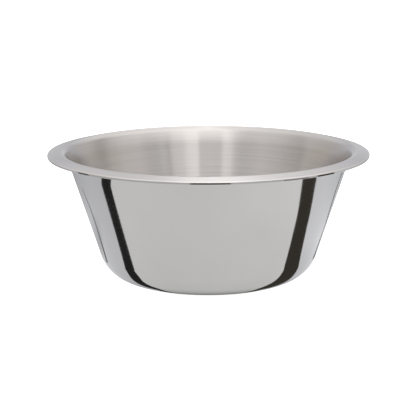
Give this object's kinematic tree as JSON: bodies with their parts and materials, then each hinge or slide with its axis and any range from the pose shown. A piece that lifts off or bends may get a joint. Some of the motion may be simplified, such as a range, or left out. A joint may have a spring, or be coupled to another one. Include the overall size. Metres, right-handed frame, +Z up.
{
  "type": "mixing bowl",
  "caption": "Round conical mixing bowl drawn from stainless-steel sheet, with a flat base, a polished outside, a brushed inside and a broad hemmed rim.",
  "frame": {"origin": "centre of the base's underside, on the bowl's axis", "axes": "+Z up along the bowl's axis, from the base to the open mouth; the bowl is a solid of revolution, so +X and +Y are any two directions across it"},
  "size_m": [0.28, 0.28, 0.113],
  "materials": {
    "stainless_steel": "mirror polished outside, fine circumferential brushing inside, satin on the rim flange"
  },
  "bodies": {
    "root": {"bowl_shell": "stainless_steel"}
  },
  "joints": []
}
